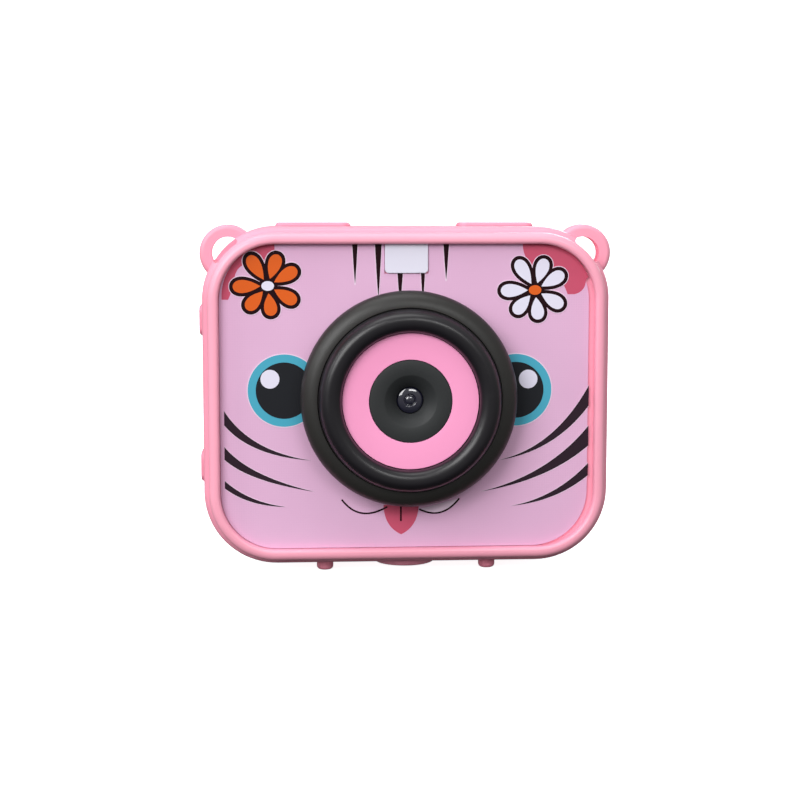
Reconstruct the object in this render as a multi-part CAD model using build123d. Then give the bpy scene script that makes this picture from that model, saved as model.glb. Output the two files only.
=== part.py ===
from build123d import *
import os

# A splash-proof digital camera for children. Millimetres, +X to the right seen from the front,
# -Y out of the lens, +Z up. The origin is the middle of the footprint, on the table.
# "depth" is measured back from the front edge of the bezel, "x" and "height" from the
# middle of the body.

# ---- body ----
body_width = 84.8
body_height = 70.3
corner_radius = 15.2
wall = 2.6
running_gap = 0.3
fit_gap = 0.05
seat_gap = 0.1

# ---- front cover ----
cover_inset = 1.2
cover_rim_thickness = 3.2
rim_width = 2.3
rim_outer_round = 1.4
rim_inner_round = 0.7
recess_depth = 1.9
faceplate_thickness = 0.5
faceplate_side_gap = 1.1
cover_floor_thickness = 2.2

# ---- main housing and door ----
housing_depth = 21.2
housing_front_round = 1.6
flange_thickness = 2.5
flange_inset = 5.0
rear_rim_width = 4.6
rear_rim_depth = 4.4
hinge_shift = 2.4
door_gap = 0.3
door_depth = 8.7
door_plate = 2.4
door_rear_round = 4.0
gasket_width = 1.0
gasket_height = 0.9
door_gasket_inset = 3.0
window_side_margin = 14.4
window_top_margin = 13.15
window_lip = 2.0
window_thickness = 1.0

# ---- feet and tripod boss ----
foot_height = 2.0
foot_radius = 1.75
foot_spread = 34.4
foot_front_depth = 7.4
foot_rear_depth = 20.4
foot_peg = 1.2
boss_drop = 1.6
boss_radius = 6.5
boss_depth = 13.4
insert_radius = 4.0
insert_hole_radius = 2.55
insert_hole_length = 7.0
insert_roof = 1.0

# ---- lanyard ears ----
ear_radius = 5.9
ear_offset = 9.75
ear_hole_radius = 3.37
ear_hole_bite = 1.0
ear_front_depth = 5.4
ear_thickness = 4.0
ear_relief_depth = 8.0

# ---- lens ----
lens_crest = 10.6
bumper_radius = 22.3
bumper_foot_radius = 21.5
bumper_height = 7.1
barrel_radius = 18.75
barrel_bore = 9.0
crest_land = 1.2
barrel_lip_radius = 13.95
barrel_lip_height = 9.2
trim_seat_height = 7.4
trim_thickness = 1.0
trim_bore = 8.5
neck_radius = 11.9
neck_length = 3.9
nut_radius = 15.0
o_ring_thickness = 1.0
o_ring_middle_radius = 13.2
cone_mouth_radius = 5.4
cone_throat_radius = 2.8
cone_depth = 2.2
window_rise = 0.7
holder_radius = 7.2
holder_bore = 6.05

# ---- flash ----
flash_width = 8.9
flash_height = 6.0
flash_x = -0.3
flash_proud = 0.4

# ---- buttons ----
button_travel = 0.5
button_depth = 14.4
button_proud_top = 0.8
button_proud_side = 0.9
top_pad_length = 15.8
side_pad_length = 6.5
pad_width = 8.0
pad_sunk = 0.45
pocket_depth = 1.1
stem_radius = 1.5
stem_length = 6.6
spring_room = 1.8
spring_room_radius = 2.7
spring_radius = 2.05
spring_wire = 0.4
spring_turns = 2.5
button_boss_radius = 4.0
button_boss_length = 5.6
button_ring_thickness = 0.7
clip_radius = 2.6
clip_thickness = 0.4

# ---- hinge and latch ----
hinge_radius = 2.4
hinge_pin_radius = 1.0
hinge_end_gap = 1.95
door_knuckle_half_length = 9.0
hinge_web = 1.0
lever_half_height = 7.0
lever_thickness = 1.6
lever_pivot_depth = 28.2
lever_reach = 7.6
lever_tail = 3.4
lever_tooth = 1.2
lever_tooth_length = 1.6
latch_pin_radius = 0.6

# ---- inside ----
board_side_gap = 7.4
board_notch_rise = 6.0
ribbon_socket_rise = 0.65
lens_socket_rise = 4.0
lens_socket_above = 1.4
lens_socket_below = 1.6
led_hole_width = 6.3
screw_roof = 1.3
screw_tip_gap = 0.2
board_thickness = 1.2
board_depth = 17.0
screen_width = 51.2
screen_height = 35.7
screen_thickness = 2.35
screen_view_width = 41.6
screen_view_height = 31.4
frame_depth = 21.0
frame_thickness = 2.6
frame_lip = 0.85
battery_width = 44.0
battery_height = 34.0
battery_thickness = 5.0
battery_pad_thickness = 0.6
screw_radius = 0.98
screw_hole = 1.15
screw_head_radius = 1.9
screw_head_height = 1.2
cover_screw_side = 10.4
cover_screw_top = 10.65
cover_boss_radius = 2.5
frame_screw_side = 12.9
frame_screw_top = 8.35
frame_screw_radius = 0.78
frame_screw_head = 1.5
lug_thickness = 2.5
frame_lug_thickness = 2.6

sensor_post_x = 17.6
sensor_post_radius = 2.2
sensor_board_depth = 9.0
nut_thickness = 1.7
flash_led_room = 3.6
web_beyond_screw = 3.0
latch_pad = 2.4
pad_round = 2.0
switch_height = 3.2
switch_width = 6.0
port_side = 10.8
speaker_side = 12.0
microphone_foot = 15.15
post_x = 21.0
post_edge = 3.5
top_button_inset = 7.9
side_button_inset = 4.4

# ---- worked out from the sizes above ----
corner_x = body_width / 2 - corner_radius
corner_height = body_height / 2 - corner_radius
window_width = body_width - 2 * window_side_margin
window_height = body_height - 2 * window_top_margin
board_width = body_width - 2 * board_side_gap
board_height = body_height - 2 * (button_boss_length + fit_gap)
board_notch_top = board_notch_rise - board_height / 2
lens_socket_height = board_notch_top + lens_socket_rise
cover_screw_x = body_width / 2 - cover_screw_side
cover_screw_height = body_height / 2 - cover_screw_top
cover_web_x = cover_screw_x - web_beyond_screw
cover_web_height = cover_screw_height - web_beyond_screw
frame_screw_x = body_width / 2 - frame_screw_side
frame_screw_height = body_height / 2 - frame_screw_top
frame_web_x = frame_screw_x - web_beyond_screw
frame_web_height = frame_screw_height - web_beyond_screw
port_x = body_width / 2 - port_side
speaker_x = speaker_side - body_width / 2
microphone_height = microphone_foot - body_height / 2
post_height = board_height / 2 - post_edge
top_button_x = corner_x - top_button_inset
side_button_height = corner_height - side_button_inset
hinge_half_length = corner_height - hinge_end_gap
hinge_swing = ((hinge_radius + running_gap) ** 2 + hinge_web**2) ** 0.5 + running_gap
gasket_inset = (cover_inset + housing_front_round + flange_inset) / 2 - gasket_width / 2
flash_top = body_height / 2 - cover_inset - rim_width
flash_led_height = flash_top - flash_height / 2 - 1
spring_floor = pocket_depth + spring_room
ring_front = spring_floor + 0.6
housing_front = cover_rim_thickness
housing_rear = housing_front + housing_depth
door_front = housing_rear + door_gap
door_rear = door_front + door_depth
floor_front = recess_depth + faceplate_thickness
floor_rear = floor_front + cover_floor_thickness
flange_rear = housing_front + flange_thickness
lens_ahead = lens_crest - recess_depth
front_y = lens_ahead - (door_rear + lens_ahead) / 2
middle_z = foot_height + body_height / 2
opening_inset = cover_inset + rim_width
hinge_x = -(body_width / 2 - hinge_radius)
hinge_depth = housing_rear + hinge_radius + running_gap
lug_front = flange_rear + 0.8
lug_rear = lug_front + lug_thickness
lever_pivot_x = body_width / 2 - 1.7
lever_front_depth = lever_pivot_depth - lever_reach


# ---- helpers ----
def y_of(depth):
    """The y of a depth behind the bezel's front edge."""
    return front_y + depth


def facing_front(depth):
    """Plane that looks out of the front at a depth, centred on the body."""
    return Plane(origin=(0, y_of(depth), middle_z), x_dir=(1, 0, 0), z_dir=(0, -1, 0))


def slab(outline, near, far, x=0, height=0):
    """Flat outline carried straight back from one depth to another."""
    placed = facing_front(near) * Pos(x, height) * outline
    return extrude(placed, amount=far - near, dir=(0, 1, 0))


def block(x_range, depth_range, height_range):
    """Box between two x values, two depths and two heights."""
    size = [x_range[1] - x_range[0], depth_range[1] - depth_range[0], height_range[1] - height_range[0]]
    corner = (x_range[0], y_of(depth_range[0]), middle_z + height_range[0])
    return Pos(*corner) * Box(*size, align=(Align.MIN, Align.MIN, Align.MIN))


def body_outline(inset):
    """The body's rounded outline, drawn in by an inset."""
    return RectangleRounded(body_width - 2 * inset, body_height - 2 * inset, corner_radius - inset)


def rod(radius, near, far, x=0, height=0):
    """Cylinder that runs front to back."""
    return slab(Circle(radius), near, far, x, height)


def upright(radius, x, depth, low, high):
    """Cylinder that stands upright between two heights."""
    return Pos(x, y_of(depth), middle_z + (low + high) / 2) * Cylinder(radius, high - low)


def turned(points, rounds=None):
    """Closed profile of radius and height ahead of the faceplate, turned round the lens axis."""
    plane = Plane(origin=(0, y_of(recess_depth), middle_z), x_dir=(1, 0, 0), z_dir=(0, 0, -1))
    outline = make_face(Polyline(*points, close=True))
    for corner, radius in (rounds or {}).items():
        near = [v for v in outline.vertices() if abs(v.X - corner[0]) + abs(v.Y - corner[1]) < 1e-4]
        outline = fillet(near, radius)
    axis = Axis((0, y_of(recess_depth), middle_z), (0, 1, 0))
    return revolve(plane * outline, axis, 360)


def edges_at(shape, depth):
    """Edges of a shape that lie in the plane at one depth."""
    level = y_of(depth)
    return [e for e in shape.edges() if all(abs(v.Y - level) < 1e-4 for v in e.vertices())]


def corners(x, height):
    """The four mirrored places of a point."""
    return [(i * x, j * height) for i in (-1, 1) for j in (-1, 1)]


def save(name, *solids):
    """Write one node, a single solid or a group of solids, with its name as label."""
    shape = solids[0] if len(solids) == 1 else Compound(children=list(solids))
    shape.label = name
    export_step(shape, f"parts/{name}.step")


# ---- outlines and places shared by several pieces ----
def seal_outline(inset):
    """The rear opening's outline, which stands clear of the hinge along the left side."""
    size = (body_width - hinge_shift - 2 * inset, body_height - 2 * inset)
    return Pos(hinge_shift / 2, 0) * RectangleRounded(*size, corner_radius - inset)


def corner_webs(x, height, near, far):
    """Webs that fill the cavity's four corners, outside an x and a height."""
    webs = [
        block(sorted((i * x, i * body_width / 2)), (near, far), sorted((j * height, j * body_height / 2)))
        for i in (-1, 1)
        for j in (-1, 1)
    ]
    return slab(body_outline(wall / 2), near, far) & (webs[0] + webs[1] + webs[2] + webs[3])


def button_planes():
    """Each button's seat on the body's skin, with its pad length and how proud it stands."""
    side_x = body_width / 2
    top_z = middle_z + body_height / 2
    y = y_of(button_depth)

    def top(x):
        return Plane(origin=(x, y, top_z), x_dir=(1, 0, 0), z_dir=(0, 0, 1))

    def side(i, height):
        return Plane(origin=(i * side_x, y, middle_z + height), x_dir=(0, 0, 1), z_dir=(i, 0, 0))

    return {
        "power_button": (top(-top_button_x), top_pad_length, button_proud_top),
        "shutter_button": (top(top_button_x), top_pad_length, button_proud_top),
        "up_button": (side(-1, side_button_height), side_pad_length, button_proud_side),
        "down_button": (side(-1, -side_button_height), side_pad_length, button_proud_side),
        "menu_button": (side(1, side_button_height), side_pad_length, button_proud_side),
    }


def sunk_rod(plane, radius, near, far):
    """Cylinder along a button's axis, between two depths under the skin."""
    return plane * Pos(0, 0, -far) * extrude(Circle(radius), far - near)


# ---- front cover and faceplate ----
def front_cover():
    cover = slab(body_outline(cover_inset), 0, cover_rim_thickness)
    cover = fillet(edges_at(cover, 0), rim_outer_round)
    cover -= slab(body_outline(opening_inset), 0, floor_front)
    inner_edge = [e for e in edges_at(cover, 0)]
    cover = fillet(inner_edge, rim_inner_round)
    spigot = body_outline(flange_inset + running_gap)
    cover += slab(spigot, cover_rim_thickness - seat_gap, floor_rear)
    for x, height in corners(cover_screw_x, cover_screw_height):
        cover += rod(cover_boss_radius, floor_rear - seat_gap, lug_front, x, height)
        cover -= rod(screw_radius + 0.02, floor_front + screw_roof, lug_front, x, height)
    cover -= rod(neck_radius + seat_gap, 0, floor_rear)
    for x in (-sensor_post_x, sensor_post_x):
        cover += rod(sensor_post_radius, floor_rear - seat_gap, sensor_board_depth, x)
        cover -= rod(frame_screw_radius + 0.02, sensor_board_depth - 3, sensor_board_depth, x)
    led_hole = Rectangle(led_hole_width, flash_led_room)
    return cover - slab(led_hole, floor_front, floor_rear, flash_x, flash_led_height)


def faceplate():
    width = body_width - 2 * opening_inset - 2 * seat_gap - faceplate_side_gap
    height = body_height - 2 * opening_inset - 2 * seat_gap
    outline = RectangleRounded(width, height, corner_radius - opening_inset - seat_gap)
    plate = slab(outline, recess_depth, floor_front, -faceplate_side_gap / 2)
    plate -= rod(barrel_radius + seat_gap, recess_depth, floor_front)
    notch = Rectangle(flash_width + 2 * seat_gap, 2 * flash_height + 2 * seat_gap)
    return plate - slab(notch, recess_depth, floor_front, flash_x, flash_top)


def flash_window():
    pane = Rectangle(flash_width, flash_height)
    window = slab(pane, recess_depth - flash_proud, floor_front, flash_x, flash_top - flash_height / 2)
    low = [
        e
        for e in window.edges().filter_by(Axis.Y)
        if e.center().Z < middle_z + flash_top - flash_height / 2
    ]
    window = fillet(low, 0.8)
    return fillet(edges_at(window, recess_depth - flash_proud), 0.15)


def flash_led():
    lamp_seat = floor_rear + seat_gap
    board = slab(Rectangle(14, 5.2), lamp_seat, lamp_seat + 1, flash_x, flash_led_height - 0.4)
    lamp = slab(Rectangle(5, 3), floor_rear - 0.9, lamp_seat, flash_x, flash_led_height)
    dome = slab(Circle(1.1), floor_rear - 1.2, floor_rear - 0.9, flash_x, flash_led_height)
    return board + lamp + dome


def front_gasket(grow=0.0):
    """Square-section ring in the flange's groove; grown, it cuts that groove."""
    outer = body_outline(gasket_inset - grow)
    inner = body_outline(gasket_inset + gasket_width + grow)
    near = cover_rim_thickness
    return slab(outer, near, near + gasket_height + grow) - slab(inner, near, near + gasket_height + grow)


# ---- main housing ----
def lanyard_ear(side):
    """Flat ring beside a top corner, and the bean-shaped hole through it."""
    middle = (side * (corner_x + ear_offset), corner_height + ear_offset)
    near = ear_front_depth
    far = near + ear_thickness
    disc = rod(ear_radius, near, far, *middle)
    disc = fillet(edges_at(disc, near) + edges_at(disc, far), ear_thickness / 4)
    hole = Pos(*middle) * Circle(ear_hole_radius)
    hole -= Pos(side * corner_x, corner_height) * Circle(corner_radius - ear_hole_bite)
    hole = fillet(hole.vertices(), 0.6)
    return disc, slab(hole, housing_front, far + ear_relief_depth)


def housing_shell():
    shell = slab(body_outline(0), housing_front, housing_rear)
    shell = fillet(edges_at(shell, housing_front), housing_front_round)
    ears = [lanyard_ear(side) for side in (-1, 1)]
    for disc, hole in ears:
        shell += disc
        shell -= hole
    rim_front = housing_rear - rear_rim_depth
    shell -= slab(body_outline(flange_inset), housing_front, flange_rear)
    shell -= slab(body_outline(wall), flange_rear, rim_front)
    shell -= slab(seal_outline(rear_rim_width), rim_front, housing_rear)
    return shell - front_gasket(seat_gap)


def tripod_boss():
    """Round boss under the body that holds the brass insert."""
    floor_level = -body_height / 2
    low = floor_level - boss_drop
    high = low + insert_hole_length + insert_roof + wall
    boss = upright(boss_radius, 0, boss_depth, low, high)
    rim = [e for e in boss.edges() if abs(e.center().Z - middle_z - low) < 1e-4 and e.length > 1]
    return fillet(rim, 0.6)


def tripod_insert(solid=False):
    """Threaded brass insert; solid, it cuts its own seat."""
    low = -body_height / 2 - boss_drop
    high = low + insert_hole_length + insert_roof
    sleeve = upright(insert_radius, 0, boss_depth, low, high)
    if solid:
        return sleeve
    return sleeve - upright(insert_hole_radius, 0, boss_depth, low, low + insert_hole_length)


def housing_knuckles():
    shape = None
    for side in (-1, 1):
        low, high = sorted((side * (door_knuckle_half_length + running_gap), side * hinge_half_length))
        knuckle = upright(hinge_radius, hinge_x, hinge_depth, low, high)
        web_x = (hinge_x - hinge_web, hinge_x + hinge_web)
        knuckle += block(web_x, (housing_rear - seat_gap, hinge_depth), (low, high))
        knuckle -= upright(hinge_pin_radius + 0.01, hinge_x, hinge_depth, low, high)
        shape = knuckle if shape is None else shape + knuckle
    return shape


def latch_recess(front, rear):
    """Room for the lever in the right side, between two depths."""
    half = lever_half_height + running_gap
    floor_x = body_width / 2 - lever_thickness - running_gap
    return block((floor_x, body_width / 2 + 1), (front, rear), (-half, half))


def main_housing():
    shell = housing_shell()
    shell += tripod_boss()
    shell -= tripod_insert(solid=True)
    shell += corner_webs(cover_web_x, cover_web_height, lug_front, lug_rear)
    shell += corner_webs(frame_web_x, frame_web_height, frame_depth - frame_lug_thickness, frame_depth)
    for x, height in corners(cover_screw_x, cover_screw_height):
        shell -= rod(screw_hole, lug_front, lug_rear, x, height)
    for x, height in corners(frame_screw_x, frame_screw_height):
        shell -= rod(frame_screw_radius + 0.02, frame_depth - 2.2, frame_depth, x, height)
    catch_x = (body_width / 2 - wall - latch_pad, body_width / 2 - wall / 2)
    half = lever_half_height + latch_pad / 2 + running_gap
    shell += block(catch_x, (lever_front_depth - latch_pad, housing_rear), (-half, half))
    shell -= latch_recess(lever_front_depth - running_gap, housing_rear)
    shell -= tooth_notch()
    shell += housing_knuckles()
    for plane, length, _ in button_planes().values():
        shell = fit_button(shell, plane, length)
    for x, depth in foot_places():
        shell -= upright(foot_radius / 2, x, depth, -body_height / 2, -body_height / 2 + foot_peg)
    return shell


def tooth_notch():
    """Slot in the latch recess that the lever's tooth hooks into."""
    depth_x = body_width / 2 - lever_thickness - lever_tooth - running_gap
    front = lever_front_depth - running_gap
    rear = lever_front_depth + lever_tooth_length + running_gap
    half = lever_half_height + running_gap
    return block((depth_x, body_width / 2), (front, rear), (-half, half))


def fit_button(shell, plane, length):
    """Boss, pad pocket, spring room, seal groove and bore for one button."""
    shell += sunk_rod(plane, button_boss_radius, wall / 2, button_boss_length)
    pocket = RectangleRounded(length + 2 * running_gap, pad_width + 2 * running_gap, pad_round)
    shell -= plane * Pos(0, 0, -pocket_depth) * extrude(pocket, pocket_depth + 1)
    shell -= sunk_rod(plane, spring_room_radius, pocket_depth, spring_floor)
    shell -= sunk_rod(plane, stem_radius + fit_gap, spring_floor, button_boss_length)
    ring_room = stem_radius + fit_gap + button_ring_thickness
    return shell - sunk_rod(plane, ring_room, ring_front, ring_front + button_ring_thickness)


def foot_places():
    """The x and depth of the four feet."""
    return [(i * foot_spread / 2, depth) for i in (-1, 1) for depth in (foot_front_depth, foot_rear_depth)]


def foot(x, depth):
    """Rubber nub with a peg pressed into the body's underside."""
    level = -body_height / 2
    nub = upright(foot_radius, x, depth, level - foot_height, level)
    sole = middle_z + level - foot_height
    rim = [e for e in nub.edges() if abs(e.center().Z - sole) < 1e-4 and e.length > 2]
    nub = fillet(rim, foot_radius * 0.45)
    return nub + upright(foot_radius / 2 - 0.02, x, depth, level - seat_gap, level + foot_peg)


# ---- lens ----
def lens_bumper():
    bore = barrel_radius + fit_gap
    points = [
        (bore, 0), (bumper_foot_radius, 0), (bumper_radius, 3.2), (bumper_radius, 5.2),
        (bumper_radius - 1.9, bumper_height), (bore, bumper_height),
    ]
    rounds = {
        (bumper_radius, 3.2): 1.5, (bumper_radius, 5.2): 1.5,
        (bumper_radius - 1.9, bumper_height): 1.2,
    }
    return turned(points, rounds)


def lens_barrel():
    floor = -faceplate_thickness
    crest_radius = barrel_radius - 1.9
    points = [
        (barrel_bore, floor - neck_length), (neck_radius, floor - neck_length), (neck_radius, floor),
        (o_ring_middle_radius - 0.6, floor), (o_ring_middle_radius - 0.6, floor + o_ring_thickness + 0.1),
        (o_ring_middle_radius + 0.6, floor + o_ring_thickness + 0.1), (o_ring_middle_radius + 0.6, floor),
        (o_ring_middle_radius + 1.6, floor), (o_ring_middle_radius + 1.6, 5), (barrel_radius - 1.4, 5),
        (barrel_radius - 1.4, floor), (barrel_radius, floor), (barrel_radius, 8.4),
        (crest_radius + crest_land / 2, lens_crest), (crest_radius - crest_land / 2, lens_crest),
        (barrel_lip_radius + 0.3, barrel_lip_height),
        (barrel_lip_radius, barrel_lip_height - 0.3), (barrel_lip_radius, trim_seat_height),
        (barrel_bore, trim_seat_height),
    ]
    rounds = {
        (barrel_radius, 8.4): 1.5, (crest_radius + crest_land / 2, lens_crest): 0.8,
        (crest_radius - crest_land / 2, lens_crest): 0.9,
    }
    return turned(points, rounds)


def lens_trim_ring():
    outer = barrel_lip_radius - fit_gap
    low = trim_seat_height
    high = low + trim_thickness
    points = [(trim_bore, low), (outer, low), (outer, high), (trim_bore, high)]
    return turned(points, {(outer, high): 0.15, (trim_bore, high): 0.15})


def lens_cone():
    disc = trim_seat_height + trim_thickness - 0.1
    rim = trim_bore - fit_gap
    foot = barrel_bore - fit_gap
    throat = disc - cone_depth
    points = [
        (cone_throat_radius, throat - 1.4), (foot, throat - 1.4), (foot, trim_seat_height - fit_gap),
        (rim, trim_seat_height - fit_gap), (rim, disc), (cone_mouth_radius, disc),
        (cone_throat_radius, throat),
    ]
    return turned(points, {(rim, disc): 0.15})


def lens_window():
    """Small domed pane that closes the cone's throat."""
    edge = cone_throat_radius - fit_gap
    rim = recess_depth - (trim_seat_height + trim_thickness - 0.1 - cone_depth) + 0.6
    pane = rod(edge, rim - window_rise, rim + 0.6)
    ball_radius = (edge**2 + window_rise**2) / (2 * window_rise)
    ball_depth = rim - window_rise + ball_radius
    return pane & (Pos(0, y_of(ball_depth), middle_z) * Sphere(ball_radius))


def lens_o_ring():
    middle_y = y_of(floor_front) - o_ring_thickness / 2
    ring = Torus(o_ring_middle_radius, o_ring_thickness / 2)
    return Pos(0, middle_y, middle_z) * Rot(90, 0, 0) * ring


def lens_retaining_nut():
    nut = rod(nut_radius, floor_rear, floor_rear + nut_thickness)
    nut -= rod(neck_radius + fit_gap, floor_rear, floor_rear + nut_thickness)
    for x, height in ((nut_radius, 0), (-nut_radius, 0), (0, nut_radius), (0, -nut_radius)):
        nut -= slab(Rectangle(2.2, 2.2), floor_rear, floor_rear + nut_thickness, x, height)
    return nut


def lens_holder():
    front = recess_depth
    tube = rod(holder_radius, front, sensor_board_depth) - rod(holder_bore, front, sensor_board_depth - 1.2)
    tube += slab(RectangleRounded(17, 17, 1), sensor_board_depth - 1.5, sensor_board_depth)
    return tube - slab(Rectangle(9, 9), sensor_board_depth - 1.5, sensor_board_depth)


def lens_elements():
    rear = sensor_board_depth - 2.2
    throat_seat = trim_seat_height + trim_thickness - 0.1 - cone_depth - 1.4
    front = recess_depth - throat_seat + 0.4
    cell = rod(holder_bore - fit_gap, recess_depth + 0.5, rear)
    nose = rod(4.4, front, recess_depth + 0.5)
    return cell + nose - rod(2.2, front, front + 0.6)


def image_sensor():
    chip = slab(Rectangle(7.4, 6.6), sensor_board_depth - 0.8, sensor_board_depth)
    glass = slab(Rectangle(6.6, 5.8), sensor_board_depth - 1.1, sensor_board_depth - 0.8)
    return chip + glass


def sensor_board():
    width = 2 * sensor_post_x + 2 * sensor_post_radius
    board = slab(RectangleRounded(width, 19, 2), sensor_board_depth, sensor_board_depth + 1)
    for x in (-sensor_post_x, sensor_post_x):
        board -= rod(screw_hole - 0.2, sensor_board_depth, sensor_board_depth + 1, x)
    return board


def lens_ribbon():
    """Flat ribbon down from the sensor board and back to the main board."""
    top = -5
    bottom = lens_socket_height
    socket_low, socket_high = bottom - lens_socket_below, bottom + lens_socket_above
    strip = block((-4, 4), (sensor_board_depth + 1, sensor_board_depth + 1.2), (bottom, top))
    strip += block((-4, 4), (sensor_board_depth + 1, board_depth - 1), (bottom - 0.2, bottom))
    strip += block((-5, 5), (board_depth - 1, board_depth), (socket_low, socket_high))
    return strip + block((-5, 5), (sensor_board_depth + 1, sensor_board_depth + 2), (top - 2, top + 1))


# ---- buttons ----
def button(plane, length, proud):
    """Pad and stem in one piece."""
    pad = extrude(RectangleRounded(length, pad_width, pad_round - running_gap), proud + pad_sunk)
    pad = fillet(pad.faces().sort_by(Axis.Z)[-1].edges(), min(proud * 0.8, pad_round / 2))
    stem = Pos(0, 0, pad_sunk - stem_length) * extrude(Circle(stem_radius), stem_length - pad_sunk / 2)
    return plane * (Pos(0, 0, -pad_sunk) * pad + Pos(0, 0, -pad_sunk) * stem)


def return_spring(plane):
    """Coil spring between a pad's underside and the floor of its spring room."""
    free = spring_floor - pad_sunk
    pitch = (free - spring_wire - 2 * fit_gap) / spring_turns
    path = Helix(pitch, pitch * spring_turns, spring_radius)
    start = path @ 0
    section = Plane(origin=start, z_dir=path % 0) * Circle(spring_wire / 2)
    coil = sweep(section, path=path, is_frenet=True)
    return plane * Pos(0, 0, -spring_floor + spring_wire / 2 + fit_gap) * coil


def retaining_clip(plane):
    """Open ring that snaps round a stem just inside its boss."""
    near = button_boss_length + fit_gap
    clip = sunk_rod(plane, clip_radius, near, near + clip_thickness)
    clip -= sunk_rod(plane, stem_radius + 0.01, near, near + clip_thickness)
    slot = Pos(0, -clip_radius, -near - clip_thickness) * Box(
        stem_radius * 1.4, 2 * clip_radius, clip_thickness, align=(Align.CENTER, Align.CENTER, Align.MIN)
    )
    return clip - plane * slot


def button_o_ring(plane):
    middle = stem_radius + fit_gap + button_ring_thickness / 2
    centre = ring_front + button_ring_thickness / 2
    return plane * Pos(0, 0, -centre) * Torus(middle, button_ring_thickness / 2 - 0.02)


def tact_switch(plane):
    """Switch on the main board, with its plunger just short of the stem."""
    tip = stem_length + button_travel + seat_gap
    plunger = sunk_rod(plane, 1.0, tip, tip + 0.7)
    half = board_depth - button_depth
    size = (switch_width, 2 * half, switch_height)
    case = Pos(0, 0, -tip - 0.6 - switch_height / 2) * Box(*size)
    return plunger + plane * case


# ---- rear door ----
def door_gasket(grow=0.0):
    """Ring in the door's front face; grown, it cuts its groove."""
    near = housing_rear + fit_gap if grow == 0 else door_front
    far = door_front + gasket_height + grow
    outer = slab(seal_outline(door_gasket_inset - grow), near, far)
    return outer - slab(seal_outline(door_gasket_inset + gasket_width + grow), near, far)


def rear_door():
    door = slab(body_outline(0), door_front, door_rear)
    door = fillet(edges_at(door, door_rear), door_rear_round)
    plate_front = door_rear - door_plate
    door -= slab(seal_outline(rear_rim_width), door_front, plate_front)
    pad_half = lever_half_height + latch_pad
    pad_x = (body_width / 2 - wall - latch_pad - 1, body_width / 2 - wall / 2)
    door += block(pad_x, (door_front, plate_front + seat_gap), (-pad_half, pad_half))
    opening = RectangleRounded(window_width, window_height, 5)
    door -= slab(opening, plate_front, door_rear)
    seat = RectangleRounded(window_width + 2 * window_lip, window_height + 2 * window_lip, 6)
    door -= slab(seat, plate_front, plate_front + window_thickness)
    door -= door_gasket(seat_gap)
    door -= hinge_clearance()
    door += door_knuckle()
    door -= upright(hinge_pin_radius + fit_gap, hinge_x, hinge_depth, -hinge_half_length, hinge_half_length)
    return door - latch_room()


def hinge_clearance():
    """Everything the door gives up so that it can swing past the housing's rear edge."""
    half = body_height / 2 + 1
    left = -body_width / 2 - 1
    cut = block((left, hinge_x), (door_front - 1, hinge_depth), (-half, half))
    for side in (-1, 1):
        near = side * (door_knuckle_half_length - running_gap / 2)
        low, high = sorted((near, side * (hinge_half_length + running_gap)))
        cut += upright(hinge_swing, hinge_x, hinge_depth, low, high)
        cut += block((left, hinge_x + hinge_swing), (door_front - 1, hinge_depth), (low, high))
    return cut


def door_knuckle():
    half = door_knuckle_half_length - running_gap / 2
    knuckle = upright(hinge_radius, hinge_x, hinge_depth, -half, half)
    arm_x = (hinge_x, hinge_x + hinge_radius / 2)
    return knuckle + block(arm_x, (door_front, hinge_depth + 1), (-half, half))


def latch_room():
    """Recess for the lever and its pin in the door's right side."""
    rear = lever_pivot_depth + lever_tail + 0.6
    room = latch_recess(door_front - 1, rear)
    half = lever_half_height + running_gap
    room += upright(1.5 + running_gap, lever_pivot_x, lever_pivot_depth, -half, half)
    tail_x = (body_width / 2 - lever_thickness - 2.2, body_width / 2)
    room += block(tail_x, (lever_pivot_depth + 1.2, rear), (-half, half))
    return room + latch_pin(0.01)


def latch_pin(grow=0.0):
    half = lever_half_height + 2
    return upright(latch_pin_radius + grow, lever_pivot_x, lever_pivot_depth, -half, half)


def latch_lever():
    skin = (body_width / 2 - lever_thickness, body_width / 2)
    half = lever_half_height
    rear = lever_pivot_depth + lever_tail
    lever = block(skin, (lever_front_depth, rear), (-half, half))
    lever = fillet(lever.edges().filter_by(Axis.X), 1.5)
    outer = lever.faces().sort_by(Axis.X)[-1].edges()
    lever = fillet(outer, 0.4)
    lever += upright(1.5, lever_pivot_x, lever_pivot_depth, -half, half)
    tooth = (body_width / 2 - lever_thickness - lever_tooth, skin[0] + seat_gap)
    tooth_depth = (lever_front_depth, lever_front_depth + lever_tooth_length)
    lever += block(tooth, tooth_depth, (-half + 1.5, half - 1.5))
    lever -= upright(latch_pin_radius + fit_gap, lever_pivot_x, lever_pivot_depth, -half, half)
    return lever - upright(1.3, lever_pivot_x, lever_pivot_depth, -2.5, 2.5)


def latch_spring():
    path = Helix(0.9, 3.6, 0.95)
    section = Plane(origin=path @ 0, z_dir=path % 0) * Circle(0.14)
    coil = sweep(section, path=path, is_frenet=True)
    return Pos(lever_pivot_x, y_of(lever_pivot_depth), middle_z - 1.8) * coil


def screen_window():
    width = window_width + 2 * window_lip - 2 * seat_gap
    height = window_height + 2 * window_lip - 2 * seat_gap
    front = door_rear - door_plate
    return slab(RectangleRounded(width, height, 6 - seat_gap), front, front + window_thickness)


def hinge_pin():
    pin = upright(hinge_pin_radius, hinge_x, hinge_depth, -hinge_half_length + 0.3, hinge_half_length - 0.3)
    return chamfer(pin.edges().filter_by(GeomType.CIRCLE), 0.2)


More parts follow.
